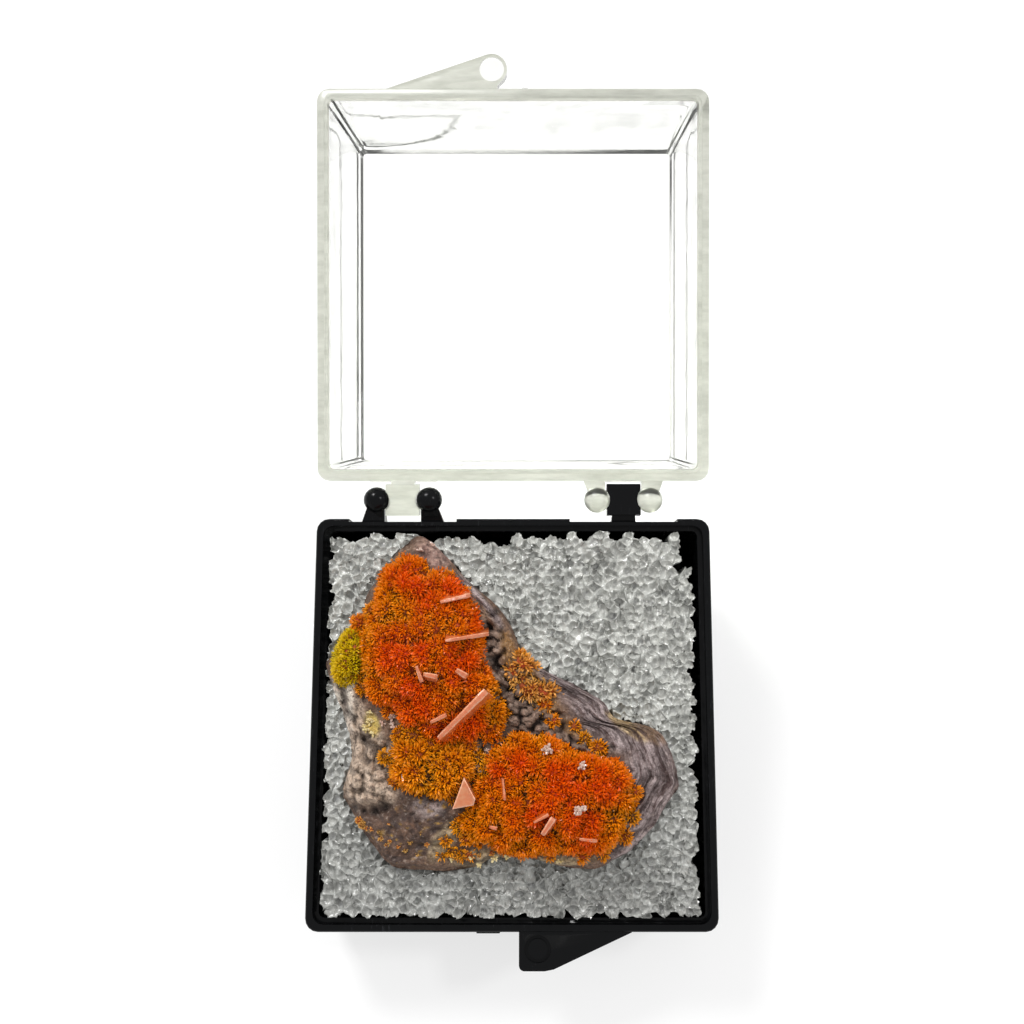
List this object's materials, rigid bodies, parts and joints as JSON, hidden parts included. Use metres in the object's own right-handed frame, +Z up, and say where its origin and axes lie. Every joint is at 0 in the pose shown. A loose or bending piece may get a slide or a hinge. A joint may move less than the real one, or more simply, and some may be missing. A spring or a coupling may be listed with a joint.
{
  "type": "wulfenite and mimetite specimen in a hinged specimen box",
  "caption": "Wulfenite plates on an orange needle druse and mauve matrix, held by a foam pad in a small black tray with a clear hinged lid, standing open.",
  "frame": {"origin": "centre of the open box's footprint, on the surface it stands on", "axes": "+Y from the tray's thumb tab to the lid's, across the hinge; +X along the hinge axis; +Z up"},
  "size_m": [0.0318, 0.0728, 0.0306],
  "materials": {
    "black_polystyrene": "gloss",
    "clear_polystyrene": "gloss",
    "foam": "satin",
    "matrix": "matte",
    "mimetite_orange": "satin",
    "mimetite_golden": "satin",
    "mimetite_yellow": "satin",
    "wulfenite": "gloss",
    "pale_crystal": "satin"
  },
  "bodies": {
    "tray_body": {"tray": "black_polystyrene", "foam_pad": "foam", "matrix_rock": "matrix", "mimetite_druse_upper": "mimetite_orange", "mimetite_druse_left": "mimetite_yellow", "mimetite_druse_middle": "mimetite_golden", "mimetite_druse_lower": "mimetite_orange", "mimetite_druse_right": "mimetite_golden", "wulfenite_plate_01": "wulfenite", "wulfenite_plate_02": "wulfenite", "wulfenite_plate_03": "wulfenite", "wulfenite_plate_04": "wulfenite", "wulfenite_plate_05": "wulfenite", "wulfenite_plate_06": "wulfenite", "wulfenite_plate_07": "wulfenite", "wulfenite_plate_08": "wulfenite", "wulfenite_plate_09": "wulfenite", "wulfenite_plate_10": "wulfenite", "wulfenite_plate_11": "wulfenite", "wulfenite_plate_12": "wulfenite", "wulfenite_wedge": "wulfenite", "pale_crystals_1": "pale_crystal", "pale_crystals_2": "pale_crystal", "pale_crystals_3": "pale_crystal"},
    "lid_body": {"lid": "clear_polystyrene"}
  },
  "joints": [
    {"name": "lid_hinge", "type": "hinge", "parent": "tray_body", "child": "lid_body", "pos_m": [0, -0.00124, 0.01665], "axis": [1, 0, 0], "range_deg": [0, 170]}
  ]
}
